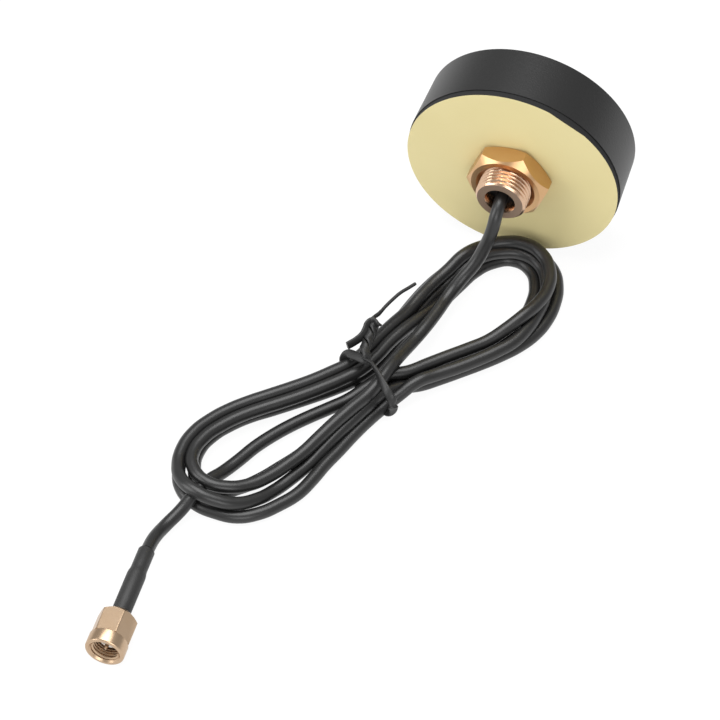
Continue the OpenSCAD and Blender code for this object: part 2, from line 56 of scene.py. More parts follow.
# Cable
# About one metre of 3 mm coaxial cable with a black vinyl jacket. It drops out of the stud,
# is folded four times into a hank and leaves under the hank's left end for its plug.
# The route is in millimetres, the same one that the hank's solids follow.
CABLE_D = 3.0
ROUTE = [
    (0, -9.3, 25), (0, -13.9, 23.5), (-0.4, -16.3, 19.2), (-1.6, -17.6, 14.5), (-3.2, -19.6, 10.3),
    (-5.5, -22.4, 6.9), (-7.3, -26.5, 4.9), (-8.2, -31.4, 4.8), (-9.2, -36.2, 4.9),
    (-10.6, -41, 4.7), (-11.7, -45.8, 5.5), (-12.4, -50.6, 6.8), (-13.4, -55.4, 6.8),
    (-15, -60.1, 6.3), (-17.2, -64.6, 6.1), (-19.4, -69.1, 5.6), (-21.5, -73.6, 4.9),
    (-23.6, -78, 4.1), (-26, -82.3, 3.8), (-28.7, -86.5, 3.7), (-32, -90.3, 3.9), (-36.1, -93, 4.6),
    (-40.9, -93.5, 5.2), (-44.9, -90.7, 5.1), (-46.5, -86.1, 4.5), (-45.6, -81.2, 4.3),
    (-43.2, -76.9, 4.2), (-40, -73, 4.2), (-36.4, -69.6, 4.2), (-32.6, -66.3, 4.2), (-29, -63, 4.2),
    (-25.4, -59.5, 4.3), (-22, -55.8, 4.3), (-19, -51.9, 4.3), (-17, -47.3, 4.3),
    (-15.5, -42.5, 4.3), (-13.6, -37.9, 4.2), (-11.6, -33.4, 3.5), (-10, -28.9, 2.2),
    (-8.3, -24.3, 1.5), (-6.5, -19.6, 1.5), (-4.6, -15, 1.5), (-1.6, -11.1, 1.5), (2.8, -8.9, 1.5),
    (7.3, -10.5, 1.5), (9.8, -14.7, 1.5), (10.5, -19.7, 1.5), (10, -24.6, 1.5), (8.7, -29.4, 1.5),
    (5.9, -33.5, 1.5), (2.4, -37, 1.5), (-1.2, -40.6, 1.5), (-4.7, -44.1, 1.5), (-8.3, -47.5, 1.5),
    (-11.7, -51.2, 1.5), (-13.8, -55.7, 1.5), (-16, -60.2, 1.5), (-18.1, -64.7, 1.5),
    (-20.4, -69.2, 1.5), (-22.8, -73.5, 1.5), (-25.2, -77.9, 1.5), (-27.9, -82.1, 1.5),
    (-30.7, -86.2, 1.5), (-34.1, -89.9, 1.5), (-38.2, -92.6, 1.5), (-43, -92.1, 1.5),
    (-45.7, -88, 1.5), (-46.3, -83.1, 1.5), (-44.8, -78.3, 1.5), (-42.1, -74.2, 1.5),
    (-38.7, -70.5, 1.5), (-34.9, -67.3, 1.5), (-31.1, -64, 1.5), (-27.4, -60.7, 1.5),
    (-23.8, -57.3, 1.5), (-20.4, -53.6, 1.5), (-17.7, -49.4, 1.5), (-16.1, -44.7, 1.5),
    (-14.9, -39.9, 1.5), (-13.7, -35, 1.5), (-12.8, -30.1, 1.5), (-11.4, -25.3, 1.5),
    (-9.6, -20.7, 1.7), (-7.3, -16.5, 3.1), (-4.1, -12.9, 4.3), (-0.1, -10, 4.5), (4.7, -8.6, 4.2),
    (9.3, -10.1, 3.7), (12.1, -14.1, 3.3), (13.2, -18.9, 3.3), (13.1, -23.9, 3.7),
    (12.4, -28.8, 4.2), (10.7, -33.5, 4.3), (7.8, -37.5, 4.3), (4.4, -41.2, 4.2), (0.9, -44.7, 4.2),
    (-2.8, -48.1, 4.3), (-6.2, -51.7, 4.6), (-9.1, -55.5, 3.2), (-11.9, -59.3, 1.6),
    (-13.9, -63.8, 1.5), (-15.6, -68.5, 1.5), (-17.1, -73.3, 1.5), (-18.7, -78, 1.5),
    (-20, -82.8, 1.5), (-21.7, -87.5, 1.5), (-24.5, -91.6, 1.5), (-27.9, -95.3, 1.5),
    (-32.2, -97.8, 1.5), (-37.1, -98.2, 1.5), (-42, -97.4, 1.5), (-46.2, -94.7, 1.5),
    (-48.5, -90.4, 1.5), (-49.2, -85.5, 1.5), (-48.5, -80.5, 1.5), (-46.7, -75.9, 1.5),
    (-43.9, -71.8, 1.5), (-40.4, -68.2, 1.5), (-36.6, -64.9, 1.5), (-32.9, -61.6, 1.5),
    (-29.2, -58.3, 1.5), (-25.6, -54.8, 1.5), (-22.3, -51.1, 1.5), (-19.8, -46.8, 1.5),
    (-18.4, -42, 1.5), (-17.1, -37.2, 1.5), (-15.9, -32.3, 1.5), (-14.7, -27.5, 1.5),
    (-13.2, -22.7, 1.5), (-11.2, -18.2, 1.5), (-8.5, -14, 1.5), (-5.5, -10, 1.5), (-1.6, -6.9, 1.5),
    (3.2, -5.6, 1.5), (8.1, -6.1, 1.5), (12.2, -8.9, 1.5), (14.5, -13.2, 1.5), (15.4, -18.1, 1.5),
    (15.2, -23.1, 1.5), (13.9, -27.9, 1.5), (11.5, -32.3, 1.5), (8.4, -36.2, 1.5), (5, -39.8, 1.5),
    (1.4, -43.3, 1.5), (-2.2, -46.7, 1.5), (-5.9, -50, 1.6), (-9.7, -53, 2.7), (-12.7, -56.8, 3.8),
    (-14.7, -61.4, 3.7), (-16.6, -66, 3.5), (-18.6, -70.5, 3.1), (-20.5, -75, 2.3),
    (-22.4, -79.6, 1.5), (-24.5, -84.1, 1.5), (-26.9, -88.5, 1.6), (-29.4, -92.7, 2.7),
    (-32.8, -96.1, 4), (-37.2, -97.7, 5.4), (-42.1, -97.4, 6.3), (-46.2, -94.8, 5.6),
    (-48.5, -90.6, 4.5), (-49.2, -85.7, 4.3), (-48.3, -80.8, 4.3), (-46.1, -76.3, 4.2),
    (-43.2, -72.3, 4.1), (-39.7, -68.7, 4.1), (-35.9, -65.4, 4.2), (-32.2, -62.1, 4.2),
    (-28.6, -58.7, 4.2), (-25.2, -55, 4.2), (-22.1, -51.2, 4.2), (-19.8, -46.7, 4.3),
    (-18.3, -42, 4.3), (-16.5, -37.3, 4.2), (-14.7, -32.7, 4), (-13.3, -27.9, 4.1),
    (-11.7, -23.1, 4.1), (-9.6, -18.7, 4.7), (-7.3, -14.5, 6), (-4.1, -10.7, 5.9), (0.1, -8.1, 6.1),
    (5, -7.5, 6.7), (9.6, -9.2, 6.5), (12.6, -13.1, 6.2), (13.6, -17.9, 6.1), (12.9, -22.8, 6.4),
    (10.9, -27.4, 6.5), (8.2, -31.4, 5.4), (5.1, -35.1, 4.2), (1.6, -38.6, 4), (-2, -42.1, 4),
    (-5.5, -45.6, 4), (-9, -49.2, 4.1), (-13.2, -51.9, 4.3), (-16.5, -55.3, 2.9), (-19.6, -59, 1.6),
    (-22.9, -62.7, 1.5), (-26.3, -66.4, 1.5), (-29.5, -70.2, 1.5), (-32.4, -74.2, 1.5),
    (-35, -78.5, 1.5), (-37.1, -83, 1.5), (-39.2, -87.5, 1.9), (-40.9, -91.9, 3.5),
    (-42.4, -96.6, 4.1), (-44.2, -101, 2.6), (-46.1, -105.4, 1.9), (-46.9, -110.2, 3.1),
    (-46.8, -114.9, 4.4),
]


def linear(code):
    """A linear colour from an sRGB hex code."""
    parts = [int(code[i : i + 2], 16) / 255 for i in (0, 2, 4)]
    return [p / 12.92 if p <= 0.04045 else ((p + 0.055) / 1.055) ** 2.4 for p in parts] + [1]


def add(tree, kind, settings=None, **links):
    """A node in the tree, with its settings by attribute or input name, and its links by input name."""
    made = tree.nodes.new(kind)
    for name, value in (settings or {}).items():
        if name in made.inputs.keys():
            made.inputs[name].default_value = value
        else:
            setattr(made, name, value)
    for name, source in links.items():
        tree.links.new(source, made.inputs[name.replace("_", " ")])
    return made


def surface(name, code, roughness, metallic=0.0, **sockets):
    """A material with one principled shader: its tree, its shader and itself."""
    made = bpy.data.materials.new(name)
    made.use_nodes = True
    tree = made.node_tree
    shader = tree.nodes["Principled BSDF"]
    shader.inputs["Base Color"].default_value = linear(code)
    shader.inputs["Roughness"].default_value = roughness
    shader.inputs["Metallic"].default_value = metallic
    for name, value in sockets.items():
        shader.inputs[name.replace("_", " ")].default_value = value
    return tree, shader, made


def grain(tree, shader, per_mm, height_mm, detail=3.0, strength=1.0):
    """A fine relief on the shader, with a given number of grains to the millimetre."""
    place = add(tree, "ShaderNodeTexCoord")
    noise = add(tree, "ShaderNodeTexNoise", {"Scale": per_mm / MM, "Detail": detail}, Vector=place.outputs["Object"])
    bump = add(
        tree, "ShaderNodeBump", {"Distance": height_mm * MM, "Strength": strength}, Height=noise.outputs["Fac"]
    )
    tree.links.new(bump.outputs["Normal"], shader.inputs["Normal"])
    return noise


def clear_selection():
    if bpy.context.object and bpy.context.object.mode != "OBJECT":
        bpy.ops.object.mode_set(mode="OBJECT")
    bpy.ops.object.select_all(action="DESELECT")


def only(piece):
    clear_selection()
    piece.select_set(True)
    bpy.context.view_layer.objects.active = piece


# Soft vinyl, satin from the extruder's die: black with long, slightly blurred highlights
jacket_tree, jacket_shader, jacket = surface("extruded_vinyl_black", "1c1c1c", 0.36, Specular_IOR_Level=0.6)
grain(jacket_tree, jacket_shader, 2.2, 0.012, detail=2.0)

cable_data = bpy.data.curves.new("cable", "CURVE")
cable_data.dimensions = "3D"
cable_data.bevel_depth = CABLE_D / 2 * MM
cable_data.bevel_resolution = 7
cable_data.resolution_u = 6
cable_data.use_fill_caps = True
line = cable_data.splines.new("BEZIER")
line.bezier_points.add(len(ROUTE) - 1)
for point, place in zip(line.bezier_points, ROUTE):
    point.co = Vector(place) * MM
    point.handle_left_type = point.handle_right_type = "AUTO"
cable = bpy.data.objects.new("cable", cable_data)
bpy.context.scene.collection.objects.link(cable)
cable_data.materials.append(jacket)

# Twist tie
# A flat vinyl strip with a wire in its middle, wrapped once round the pinched hank. Its ends
# are twisted together at the back, one cut short and the other left long.
TIE_W = 2.1
TIE_T = 0.8
# Each point is a place in millimetres and the strip's turn about its own line, in degrees
STRIP = [
    ((-14.1, -29.7, 10.4), -122),
    ((-15.0, -31.1, 10.4), -122),
    ((-16.3, -33.1, 10.4), -120),
    ((-17.4, -35.5, 10.3), -117),
    ((-18.3, -37.9, 10.2), -115),
    ((-18.9, -39.9, 10.1), -106),
    ((-19.9, -42.6, 10.43), -121),
    ((-19.1, -43.8, 10.71), -181),
    ((-18.4, -44.9, 10.16), -240),
    ((-18.4, -46.0, 9.27), -312),
    ((-19.1, -47.1, 8.87), -369),
    ((-19.7, -48.4, 9.29), -427),
    ((-19.5, -49.6, 10.01), -494),
    ((-18.7, -50.7, 10.18), -549),
    ((-17.8, -52.8, 9.3), -590),
    ((-19.2, -52.4, 8.7), -579),
    ((-21.0, -51.6, 8.0), -581),
    ((-22.7, -50.9, 6.9), -600),
    ((-23.5, -51.0, 5.4), -633),
    ((-23.4, -51.0, 3.4), -665),
    ((-22.7, -50.9, 1.3), -754),
    ((-21.6, -52.0, 0.5), -720),
    ((-19.5, -53.5, 0.45), -720),
    ((-17.6, -54.8, 0.45), -720),
    ((-15.2, -56.3, 0.45), -720),
    ((-12.7, -57.9, 0.5), -720),
    ((-10.7, -59.4, 1.3), -715),
    ((-9.3, -60.2, 3.2), -628),
    ((-8.6, -60.6, 5.6), -553),
    ((-9.0, -60.6, 7.6), -582),
    ((-10.1, -59.9, 8.8), -582),
    ((-11.7, -58.4, 9.4), -597),
    ((-13.5, -56.4, 9.7), -621),
    ((-15.6, -54.2, 9.7), -640),
    ((-19.0, -50.6, 8.62), -711),
    ((-18.3, -49.4, 8.98), -765),
    ((-18.2, -48.3, 9.9), -838),
    ((-19.0, -47.2, 10.46), -900),
    ((-19.7, -46.0, 10.15), -957),
    ((-19.8, -44.7, 9.4), -1026),
    ((-19.1, -43.5, 9.13), -1079),
    ((-18.2, -43.8, 10.8), -989),
    ((-19.4, -43.3, 11.0), -978),
    ((-20.1, -44.4, 10.9), -953),
    ((-20.1, -46.0, 10.7), -947),
    ((-20.4, -47.5, 10.4), -961),
    ((-21.4, -49.1, 10.0), -971),
    ((-22.8, -50.9, 9.8), -973),
]


def smooth_by_angle(piece, degrees):
    only(piece)
    bpy.ops.object.shade_smooth_by_angle(angle=math.radians(degrees))


def settle(piece, matrix):
    """The piece's place goes into its mesh."""
    only(piece)
    piece.matrix_world = matrix
    bpy.ops.object.transform_apply(location=True, rotation=True, scale=True)
    return piece


vinyl_tree, vinyl_shader, vinyl = surface("vinyl_covered_wire_black", "202020", 0.42)
strip_end = bpy.data.curves.new("strip_end", "CURVE")
strip_end.dimensions = "2D"
edge = strip_end.splines.new("POLY")
edge.points.add(11)
for i, point in enumerate(edge.points):
    angle = math.radians(30 * i)
    wide = math.copysign(abs(math.cos(angle)) ** 0.5, math.cos(angle))
    point.co = (wide * TIE_W / 2 * MM, math.sin(angle) * TIE_T / 2 * MM, 0, 1)
edge.use_cyclic_u = True
strip_end_object = bpy.data.objects.new("strip_end", strip_end)
bpy.context.scene.collection.objects.link(strip_end_object)

tie_data = bpy.data.curves.new("twist_tie_strip", "CURVE")
tie_data.dimensions = "3D"
tie_data.twist_mode = "Z_UP"
tie_data.bevel_mode = "OBJECT"
tie_data.bevel_object = strip_end_object
tie_data.resolution_u = 8
tie_data.use_fill_caps = True
strip_line = tie_data.splines.new("BEZIER")
strip_line.bezier_points.add(len(STRIP) - 1)
for point, (place, turn) in zip(strip_line.bezier_points, STRIP):
    point.co = Vector(place) * MM
    point.tilt = math.radians(turn)
    point.handle_left_type = point.handle_right_type = "AUTO"
tie = bpy.data.objects.new("twist_tie_strip", tie_data)
bpy.context.scene.collection.objects.link(tie)
only(tie)
bpy.ops.object.convert(target="MESH")
tie = bpy.context.object
clear_selection()
strip_end_object.select_set(True)
bpy.ops.object.delete()
tie.data.materials.clear()
tie.data.materials.append(vinyl)
smooth_by_angle(tie, 50)
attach(tie, "antenna")
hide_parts("twist_tie")

# Radome
# Moulded in one piece from ASA, dark grey, with a fine spark-eroded grain that the light
# breaks up on. It is pressed over the base plate and holds the ceramic patch under its roof.
BODY = "antenna"
AXIS_HEIGHT = 25.0
FACE_Y = -3.3
ON_ANTENNA = Matrix.Translation((0, FACE_Y * MM, AXIS_HEIGHT * MM)) @ Matrix.Rotation(math.radians(-90), 4, "X")


def dress(node, material):
    """A CAD node takes the material in all its slots."""
    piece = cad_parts[node]
    piece.data.materials.clear()
    piece.data.materials.append(material)
    return piece


asa_tree, asa_shader, asa = surface("moulded_asa_dark_grey", "171717", 0.42, Specular_IOR_Level=0.55)
grain(asa_tree, asa_shader, 2.6, 0.05, detail=2.0)
dress("radome", asa)

# Mounting face
# A ring of black closed-cell foam with adhesive on both sides. Its outer side is covered by
# a beige waxed paper liner, die cut a little smaller than the puck, with one straight nick.
foam_tree, foam_shader, foam = surface("closed_cell_foam_black", "1b1b1c", 0.85)
grain(foam_tree, foam_shader, 4.0, 0.06)
dress("foam_pad", foam)

liner_tree, liner_shader, liner = surface("waxed_paper_beige", "d6c991", 0.5, Specular_IOR_Level=0.35)
liner_place = add(liner_tree, "ShaderNodeTexCoord")
liner_cloud = add(
    liner_tree, "ShaderNodeTexNoise", {"Scale": 0.06 / MM, "Detail": 3.0}, Vector=liner_place.outputs["Object"]
)
liner_tone = add(liner_tree, "ShaderNodeMix", {"data_type": "RGBA"}, Factor=liner_cloud.outputs["Fac"])
liner_tone.inputs["A"].default_value = linear("d6c992")
liner_tone.inputs["B"].default_value = linear("ded29f")
liner_tree.links.new(liner_tone.outputs["Result"], liner_shader.inputs["Base Color"])
liner_bump = add(liner_tree, "ShaderNodeBump", {"Distance": 0.2 * MM, "Strength": 0.5}, Height=liner_cloud.outputs["Fac"])
liner_tree.links.new(liner_bump.outputs["Normal"], liner_shader.inputs["Normal"])
dress("release_liner", liner)

# Stud
# Turned from brass bar, with a 12 mm by 1 mm thread, a chamfered end and a wide bore for
# the cable. Its flange sits inside the base plate.
STUD_REACH = 9.0
STUD_R = 6.0
STUD_BORE = 3.55
PITCH = 1.0
THREAD_DEPTH = 0.56
STUD_CHAMFER = 0.65
FLANGE_R = 9.0
FLANGE_AT = 4.0
FLANGE_END = 5.2


def turned(name, outline, steps=128):
    """A closed outline of (radius, height) in millimetres, spun round the Z axis."""
    clear_selection()
    bpy.ops.mesh.primitive_circle_add(vertices=len(outline), radius=1, fill_type="NOTHING")
    piece = bpy.context.object
    piece.name = name
    for vertex, (radius, height) in zip(piece.data.vertices, outline):
        vertex.co = (radius * MM, 0, height * MM)
    bpy.ops.object.mode_set(mode="EDIT")
    bpy.ops.mesh.select_all(action="SELECT")
    bpy.ops.mesh.spin(steps=steps, angle=math.tau, center=(0, 0, 0), axis=(0, 0, 1))
    bpy.ops.mesh.select_all(action="SELECT")
    bpy.ops.mesh.remove_doubles(threshold=1e-6)
    bpy.ops.mesh.normals_make_consistent(inside=False)
    bpy.ops.object.mode_set(mode="OBJECT")
    return piece


def carve(piece, tool, operation):
    """One boolean step: the tool is used up."""
    only(piece)
    step = piece.modifiers.new(operation.lower(), "BOOLEAN")
    step.operation = operation
    step.object = tool
    step.solver = "EXACT"
    bpy.ops.object.modifier_apply(modifier=step.name)
    clear_selection()
    tool.select_set(True)
    bpy.ops.object.delete()
    return piece


def threaded(name, crest_r, depth, pitch, start, end, limit, around=96, per_pitch=14):
    """A threaded wall round the Z axis: a fine grid is rolled up on the thread's crests, flanks and roots.

    The limit gives the largest radius at a height, as the chamfer leaves it.
    """
    clear_selection()
    bpy.ops.mesh.primitive_grid_add(
        x_subdivisions=around, y_subdivisions=round((end - start) / pitch * per_pitch), size=2
    )
    piece = bpy.context.object
    piece.name = name
    for vertex in piece.data.vertices:
        turn = (vertex.co.x + 1) / 2
        height = start + (vertex.co.y + 1) / 2 * (end - start)
        from_crest = abs((height / pitch - turn) % 1 - 0.5) * 2
        radius = min(crest_r - depth * min(1, max(0, (from_crest - 0.12) / 0.7)), limit(height))
        angle = math.tau * turn
        vertex.co = Vector((radius * math.cos(angle), radius * math.sin(angle), height)) * MM
    bpy.ops.object.mode_set(mode="EDIT")
    bpy.ops.mesh.select_all(action="SELECT")
    bpy.ops.mesh.remove_doubles(threshold=1e-6)
    bpy.ops.mesh.normals_make_consistent(inside=False)
    bpy.ops.object.mode_set(mode="OBJECT")
    return piece


def brass(name, code, roughness, tone):
    """Bright turned brass, with a slow change of tone from handling."""
    tree, shader, made = surface(name, code, roughness, metallic=1.0)
    place = add(tree, "ShaderNodeTexCoord")
    cloud = add(tree, "ShaderNodeTexNoise", {"Scale": 0.25 / MM, "Detail": 4.0}, Vector=place.outputs["Object"])
    mix = add(tree, "ShaderNodeMix", {"data_type": "RGBA"}, Factor=cloud.outputs["Fac"])
    mix.inputs["A"].default_value = linear(code)
    mix.inputs["B"].default_value = linear(tone)
    tree.links.new(mix.outputs["Result"], shader.inputs["Base Color"])
    return tree, shader, made


stud_tree, stud_shader, stud_brass = brass("turned_brass_rose", "dcbba0", 0.24, "cdaa8d")
# Its end face is painted a darker brown than the thread for the shade that lies on it; only faced off in the lathe, it
# is also duller
stud_place = add(stud_tree, "ShaderNodeTexCoord")
stud_axes = add(stud_tree, "ShaderNodeSeparateXYZ", Vector=stud_place.outputs["Object"])
on_end = add(stud_tree, "ShaderNodeMath", {"operation": "LESS_THAN"})
on_end.inputs[1].default_value = (FACE_Y - STUD_REACH + 0.03) * MM
stud_tree.links.new(stud_axes.outputs["Y"], on_end.inputs[0])
# Painted shade: this mask mixes the end face's colour to a darker brown
end_painted_shade = add(stud_tree, "ShaderNodeMix", {"data_type": "RGBA"}, Factor=on_end.outputs[0])
end_painted_shade.inputs["B"].default_value = linear("a08a78")
stud_tree.links.new(stud_shader.inputs["Base Color"].links[0].from_socket, end_painted_shade.inputs["A"])
stud_tree.links.new(end_painted_shade.outputs["Result"], stud_shader.inputs["Base Color"])
end_finish = add(stud_tree, "ShaderNodeMix", {"data_type": "FLOAT"}, Factor=on_end.outputs[0])
end_finish.inputs["A"].default_value = 0.24
end_finish.inputs["B"].default_value = 0.6
stud_tree.links.new(end_finish.outputs["Result"], stud_shader.inputs["Roughness"])
root_r = STUD_R - THREAD_DEPTH - 0.06
core = turned(
    "threaded_stud_turned",
    [
        (STUD_BORE, -STUD_REACH + 2.6),
        (STUD_BORE - 0.6, -STUD_REACH + 2.2),
        (STUD_BORE - 0.6, -STUD_REACH + 1.6),
        (STUD_BORE - 0.1, -STUD_REACH + 0.2),
        (STUD_BORE + 0.05, -STUD_REACH),
        (STUD_R - STUD_CHAMFER, -STUD_REACH),
        (root_r, -STUD_REACH + 0.12),
        (root_r, FLANGE_AT),
        (FLANGE_R, FLANGE_AT),
        (FLANGE_R, FLANGE_END),
        (STUD_BORE, FLANGE_END),
    ],
)
wall = threaded(
    "stud_thread",
    STUD_R - 0.02,
    THREAD_DEPTH,
    PITCH,
    -STUD_REACH,
    -2.6,
    lambda height: STUD_R - max(0, STUD_CHAMFER - (height + STUD_REACH)),
)
only(core)
wall.select_set(True)
bpy.ops.object.join()
stud = bpy.context.object
settle(stud, ON_ANTENNA)
stud.data.materials.clear()
stud.data.materials.append(stud_brass)
smooth_by_angle(stud, 28)
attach(stud, BODY)
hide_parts("threaded_stud")

# Mounting nut
# A 17 mm hexagon nut, milled from brass bar and turned to a chamfer on both faces, with a
# wide countersink where the thread starts. It is screwed down on the liner for packing.
NUT_AF = 17.0
NUT_T = 5.0
NUT_TURN = 9.0
NUT_BORE = 5.72
NUT_SINK = 1.2
nut_tree, nut_shader, nut_brass = brass("milled_brass_yellow", "d4ae84", 0.31, "c99f70")
corner = NUT_AF / 2 / math.cos(math.radians(30))


def hexagon(name, across_flats, length, edge_r, edge_steps=3):
    """A hexagonal bar on the Z axis from height 0 up, its long edges rounded."""
    clear_selection()
    bpy.ops.mesh.primitive_cylinder_add(
        vertices=6,
        radius=across_flats / 2 / math.cos(math.radians(30)) * MM,
        depth=length * MM,
        location=(0, 0, length / 2 * MM),
        rotation=(0, 0, math.radians(-90)),
    )
    bpy.ops.object.transform_apply(location=True, rotation=True, scale=True)
    piece = bpy.context.object
    piece.name = name
    bpy.ops.object.mode_set(mode="EDIT")
    bpy.ops.mesh.select_all(action="DESELECT")
    bpy.ops.mesh.select_mode(type="EDGE")
    bpy.ops.object.mode_set(mode="OBJECT")
    for rim in piece.data.edges:
        ends = [piece.data.vertices[i].co for i in rim.vertices]
        rim.select = abs(ends[0].z - ends[1].z) > 0.5 * length * MM
    bpy.ops.object.mode_set(mode="EDIT")
    bpy.ops.mesh.bevel(offset=edge_r * MM, segments=edge_steps)
    bpy.ops.mesh.select_mode(type="VERT")
    bpy.ops.object.mode_set(mode="OBJECT")
    return piece


nut = hexagon("mounting_nut_milled", NUT_AF, NUT_T, 0.12)
front_r = 0.95 * NUT_AF / 2
barrel = turned(
    "nut_barrel",
    [
        (0, 0),
        (front_r, 0),
        (corner + 0.5, (corner + 0.5 - front_r) * 1.0),
        (corner + 0.5, NUT_T - (corner + 0.5 - front_r) * 0.6),
        (front_r, NUT_T),
        (0, NUT_T),
    ],
    steps=160,
)
carve(nut, barrel, "INTERSECT")
bore = turned(
    "nut_bore",
    [
        (0, -0.5),
        (NUT_BORE + NUT_SINK + 0.5, -0.5),
        (NUT_BORE, NUT_SINK),
        (NUT_BORE, NUT_T - NUT_SINK),
        (NUT_BORE + NUT_SINK + 0.5, NUT_T + 0.5),
        (0, NUT_T + 0.5),
    ],
)
carve(nut, bore, "DIFFERENCE")
settle(nut, ON_ANTENNA @ Matrix.Rotation(math.radians(-NUT_TURN), 4, "Z") @ Matrix.Translation((0, 0, -NUT_T * MM)))
nut.data.materials.clear()
nut.data.materials.append(nut_brass)
smooth_by_angle(nut, 20)
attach(nut, BODY)
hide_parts("mounting_nut")

# Cable seal in the stud
# A moulded rubber grommet fills the bore round the cable, a few millimetres down, and the
# seal ring of the base plate is of the same black rubber.
rubber_tree, rubber_shader, rubber = surface("moulded_rubber_black", "161617", 0.55)
dress("cable_grommet", rubber)
dress("base_seal_ring", rubber)

# Inner parts
# The base plate is a zinc casting. On its bosses sits the green board with the feed pin, the
# amplifier's chip and filter under a tinned can, and the fired ceramic patch on its tape.
INNER = {
    "base_plate": ("die_cast_zinc", "8d9094", 0.45, 1.0),
    "circuit_board": ("solder_resist_green", "1f5a3a", 0.4, 0.0),
    "board_screws": ("zinc_plated_steel", "b9bcc0", 0.3, 1.0),
    "ceramic_patch": ("fired_ceramic_buff", "c9b79b", 0.6, 0.0),
    "patch_electrode": ("printed_silver", "d4d6d8", 0.35, 1.0),
    "patch_tape": ("adhesive_tape_white", "e8e4d6", 0.6, 0.0),
    "feed_pin": ("gilt_brass_pin", "e6c46a", 0.25, 1.0),
    "shield_can": ("tin_plated_steel", "c3c6c9", 0.3, 1.0),
    "lna_chip": ("moulded_epoxy_black", "1b1b1d", 0.5, 0.0),
    "band_filter": ("gilt_lid", "b79a55", 0.35, 1.0),
    "cable_braid_end": ("tinned_copper_braid", "b8bbbe", 0.35, 1.0),
    "cable_dielectric_end": ("extruded_polyethylene_white", "f0efe9", 0.45, 0.0),
    "cable_core_end": ("bare_copper", "c87f4a", 0.3, 1.0),
}
for node, (name, code, roughness, metallic) in INNER.items():
    dress(node, surface(name, code, roughness, metallic)[2])
dress("cable_jacket_end", jacket)

# Shrunk sleeve and ferrule
# A piece of black polyolefin tube, shrunk by heat over the crimped ferrule and the first of
# the cable. It steps down where the ferrule ends, with a soft edge at both ends.
PLUG = (-46.1, -143.2, 4.45)
PLUG_TURN = 1.5
ON_PLUG = (
    Matrix.Translation(Vector(PLUG) * MM)
    @ Matrix.Rotation(math.radians(PLUG_TURN), 4, "Z")
    @ Matrix.Rotation(math.radians(-90), 4, "X")
)
SLEEVE_FROM, SLEEVE_STEP, SLEEVE_END = 10.5, 21.9, 28.3
shrunk_tree, shrunk_shader, shrunk = surface("shrunk_polyolefin_black", "282828", 0.5)
grain(shrunk_tree, shrunk_shader, 1.4, 0.05)
sleeve = turned(
    "shrunk_sleeve",
    [
        (1.84, SLEEVE_FROM),
        (2.06, SLEEVE_FROM),
        (2.13, SLEEVE_FROM + 0.12),
        (2.13, SLEEVE_STEP - 0.9),
        (2.1, SLEEVE_STEP - 0.3),
        (2.0, SLEEVE_STEP + 0.25),
        (1.9, SLEEVE_STEP + 0.7),
        (1.86, SLEEVE_STEP + 1.3),
        (1.86, SLEEVE_END - 0.15),
        (1.78, SLEEVE_END),
        (1.53, SLEEVE_END),
        (1.53, SLEEVE_STEP + 1.0),
        (1.82, SLEEVE_STEP),
    ],
    steps=64,
)
settle(sleeve, ON_PLUG)
sleeve.data.materials.clear()
sleeve.data.materials.append(shrunk)
smooth_by_angle(sleeve, 40)
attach(sleeve, BODY)
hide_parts("heat_shrink_sleeve")
dress("plug_cable_end", jacket)

# Plug
# The plug's body, ferrule and coupling nut are turned from brass and gold plated; the
# insulator is turned from white PTFE, and a red silicone gasket lies on the body's flange.
GOLD, GOLD_WARM = "c9b096", "c0a384"
gold_tree, gold_shader, gold = brass("gold_plated_brass", GOLD, 0.32, GOLD_WARM)
dress("crimp_ferrule", gold)
body = turned(
    "plug_body_turned",
    [(2.06, 3), (2.3, 3), (2.3, 6), (3.25, 6), (3.25, 7.2), (2.7, 7.2), (2.7, 10.2), (1.3, 10.2), (1.3, 7), (2.06, 7)],
    steps=96,
)
settle(body, ON_PLUG)
body.data.materials.clear()
body.data.materials.append(gold)
smooth_by_angle(body, 30)
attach(body, BODY)
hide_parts("plug_body")
dress("plug_center_pin", gold)
dress("plug_insulator", surface("turned_ptfe_white", "f1efe8", 0.45)[2])
dress("plug_gasket", surface("moulded_silicone_red", "a84b38", 0.5)[2])
dress("plug_snap_ring", surface("spring_bronze", "b08d57", 0.3, 1.0)[2])

# Coupling nut
# An 8 mm hexagon with a round collar at its mouth and a fine thread inside. A snap ring
# holds it on the body, on which it turns freely.
COUPLING_AF = 8.0
COUPLING_L = 10.4
COUPLING_TURN = -8.0
COLLAR_R = 4.45
COLLAR_L = 3.4
coupling_corner = COUPLING_AF / 2 / math.cos(math.radians(30))
coupling = hexagon("coupling_nut_turned", COUPLING_AF, COUPLING_L, 0.1)
coupling_back = 3.0
shape = turned(
    "coupling_shape",
    [
        (0, COLLAR_L - 0.2),
        (coupling_corner + 0.5, COLLAR_L - 0.2),
        (coupling_corner + 0.5, COUPLING_L - (coupling_corner + 0.5 - coupling_back) * 0.9),
        (coupling_back, COUPLING_L),
        (0, COUPLING_L),
    ],
)
carve(coupling, shape, "INTERSECT")
collar = turned(
    "coupling_collar",
    [
        (0, 0),
        (COLLAR_R - 0.4, 0),
        (COLLAR_R - 0.2, 0.07),
        (COLLAR_R - 0.07, 0.2),
        (COLLAR_R, 0.4),
        (COLLAR_R, COLLAR_L - 0.25),
        (COLLAR_R - 0.25, COLLAR_L),
        (0, COLLAR_L),
    ],
)
carve(coupling, collar, "UNION")
BORE_R = 3.2
hollow = turned(
    "coupling_hollow",
    [
        (0, -0.5),
        (BORE_R + 0.92, -0.5),
        (BORE_R, 0.42),
        (BORE_R, 5.0),
        (3.35, 5.0),
        (3.35, 7.25),
        (2.75, 7.25),
        (2.75, 8.6),
        (3.3, 8.6),
        (3.3, 9.2),
        (2.75, 9.2),
        (2.75, COUPLING_L + 0.5),
        (0, COUPLING_L + 0.5),
    ],
)
